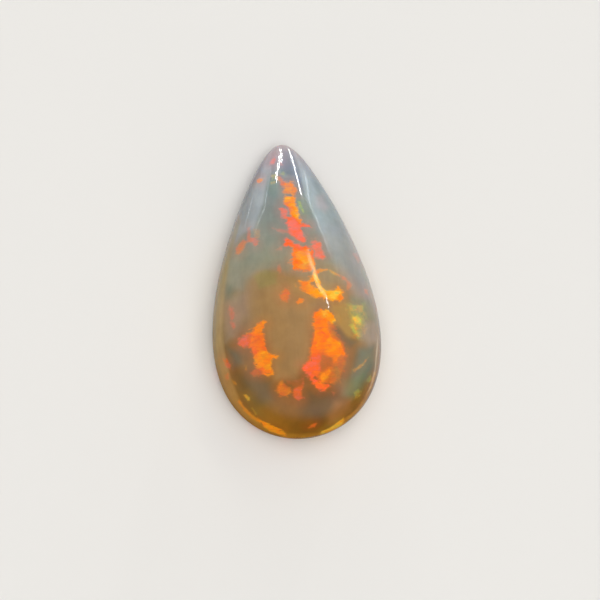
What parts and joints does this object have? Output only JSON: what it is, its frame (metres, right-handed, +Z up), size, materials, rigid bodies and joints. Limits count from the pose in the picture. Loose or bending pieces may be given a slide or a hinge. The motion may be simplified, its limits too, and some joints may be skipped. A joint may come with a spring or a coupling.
{
  "type": "opal cabochon",
  "caption": "Polished pear-shaped opal cabochon with a high smooth dome, a low upright girdle and a flat back, for setting in jewellery.",
  "frame": {"origin": "middle of the stone's flat back, under the middle of its length and width", "axes": "+Z up out of the dome, +Y along the length towards the pointed tip, +X across the width to the right when seen from above with the tip up"},
  "size_m": [0.009, 0.016, 0.0056],
  "materials": {
    "opal": "polished"
  },
  "bodies": {
    "root": {"opal_cabochon": "opal"}
  },
  "joints": []
}
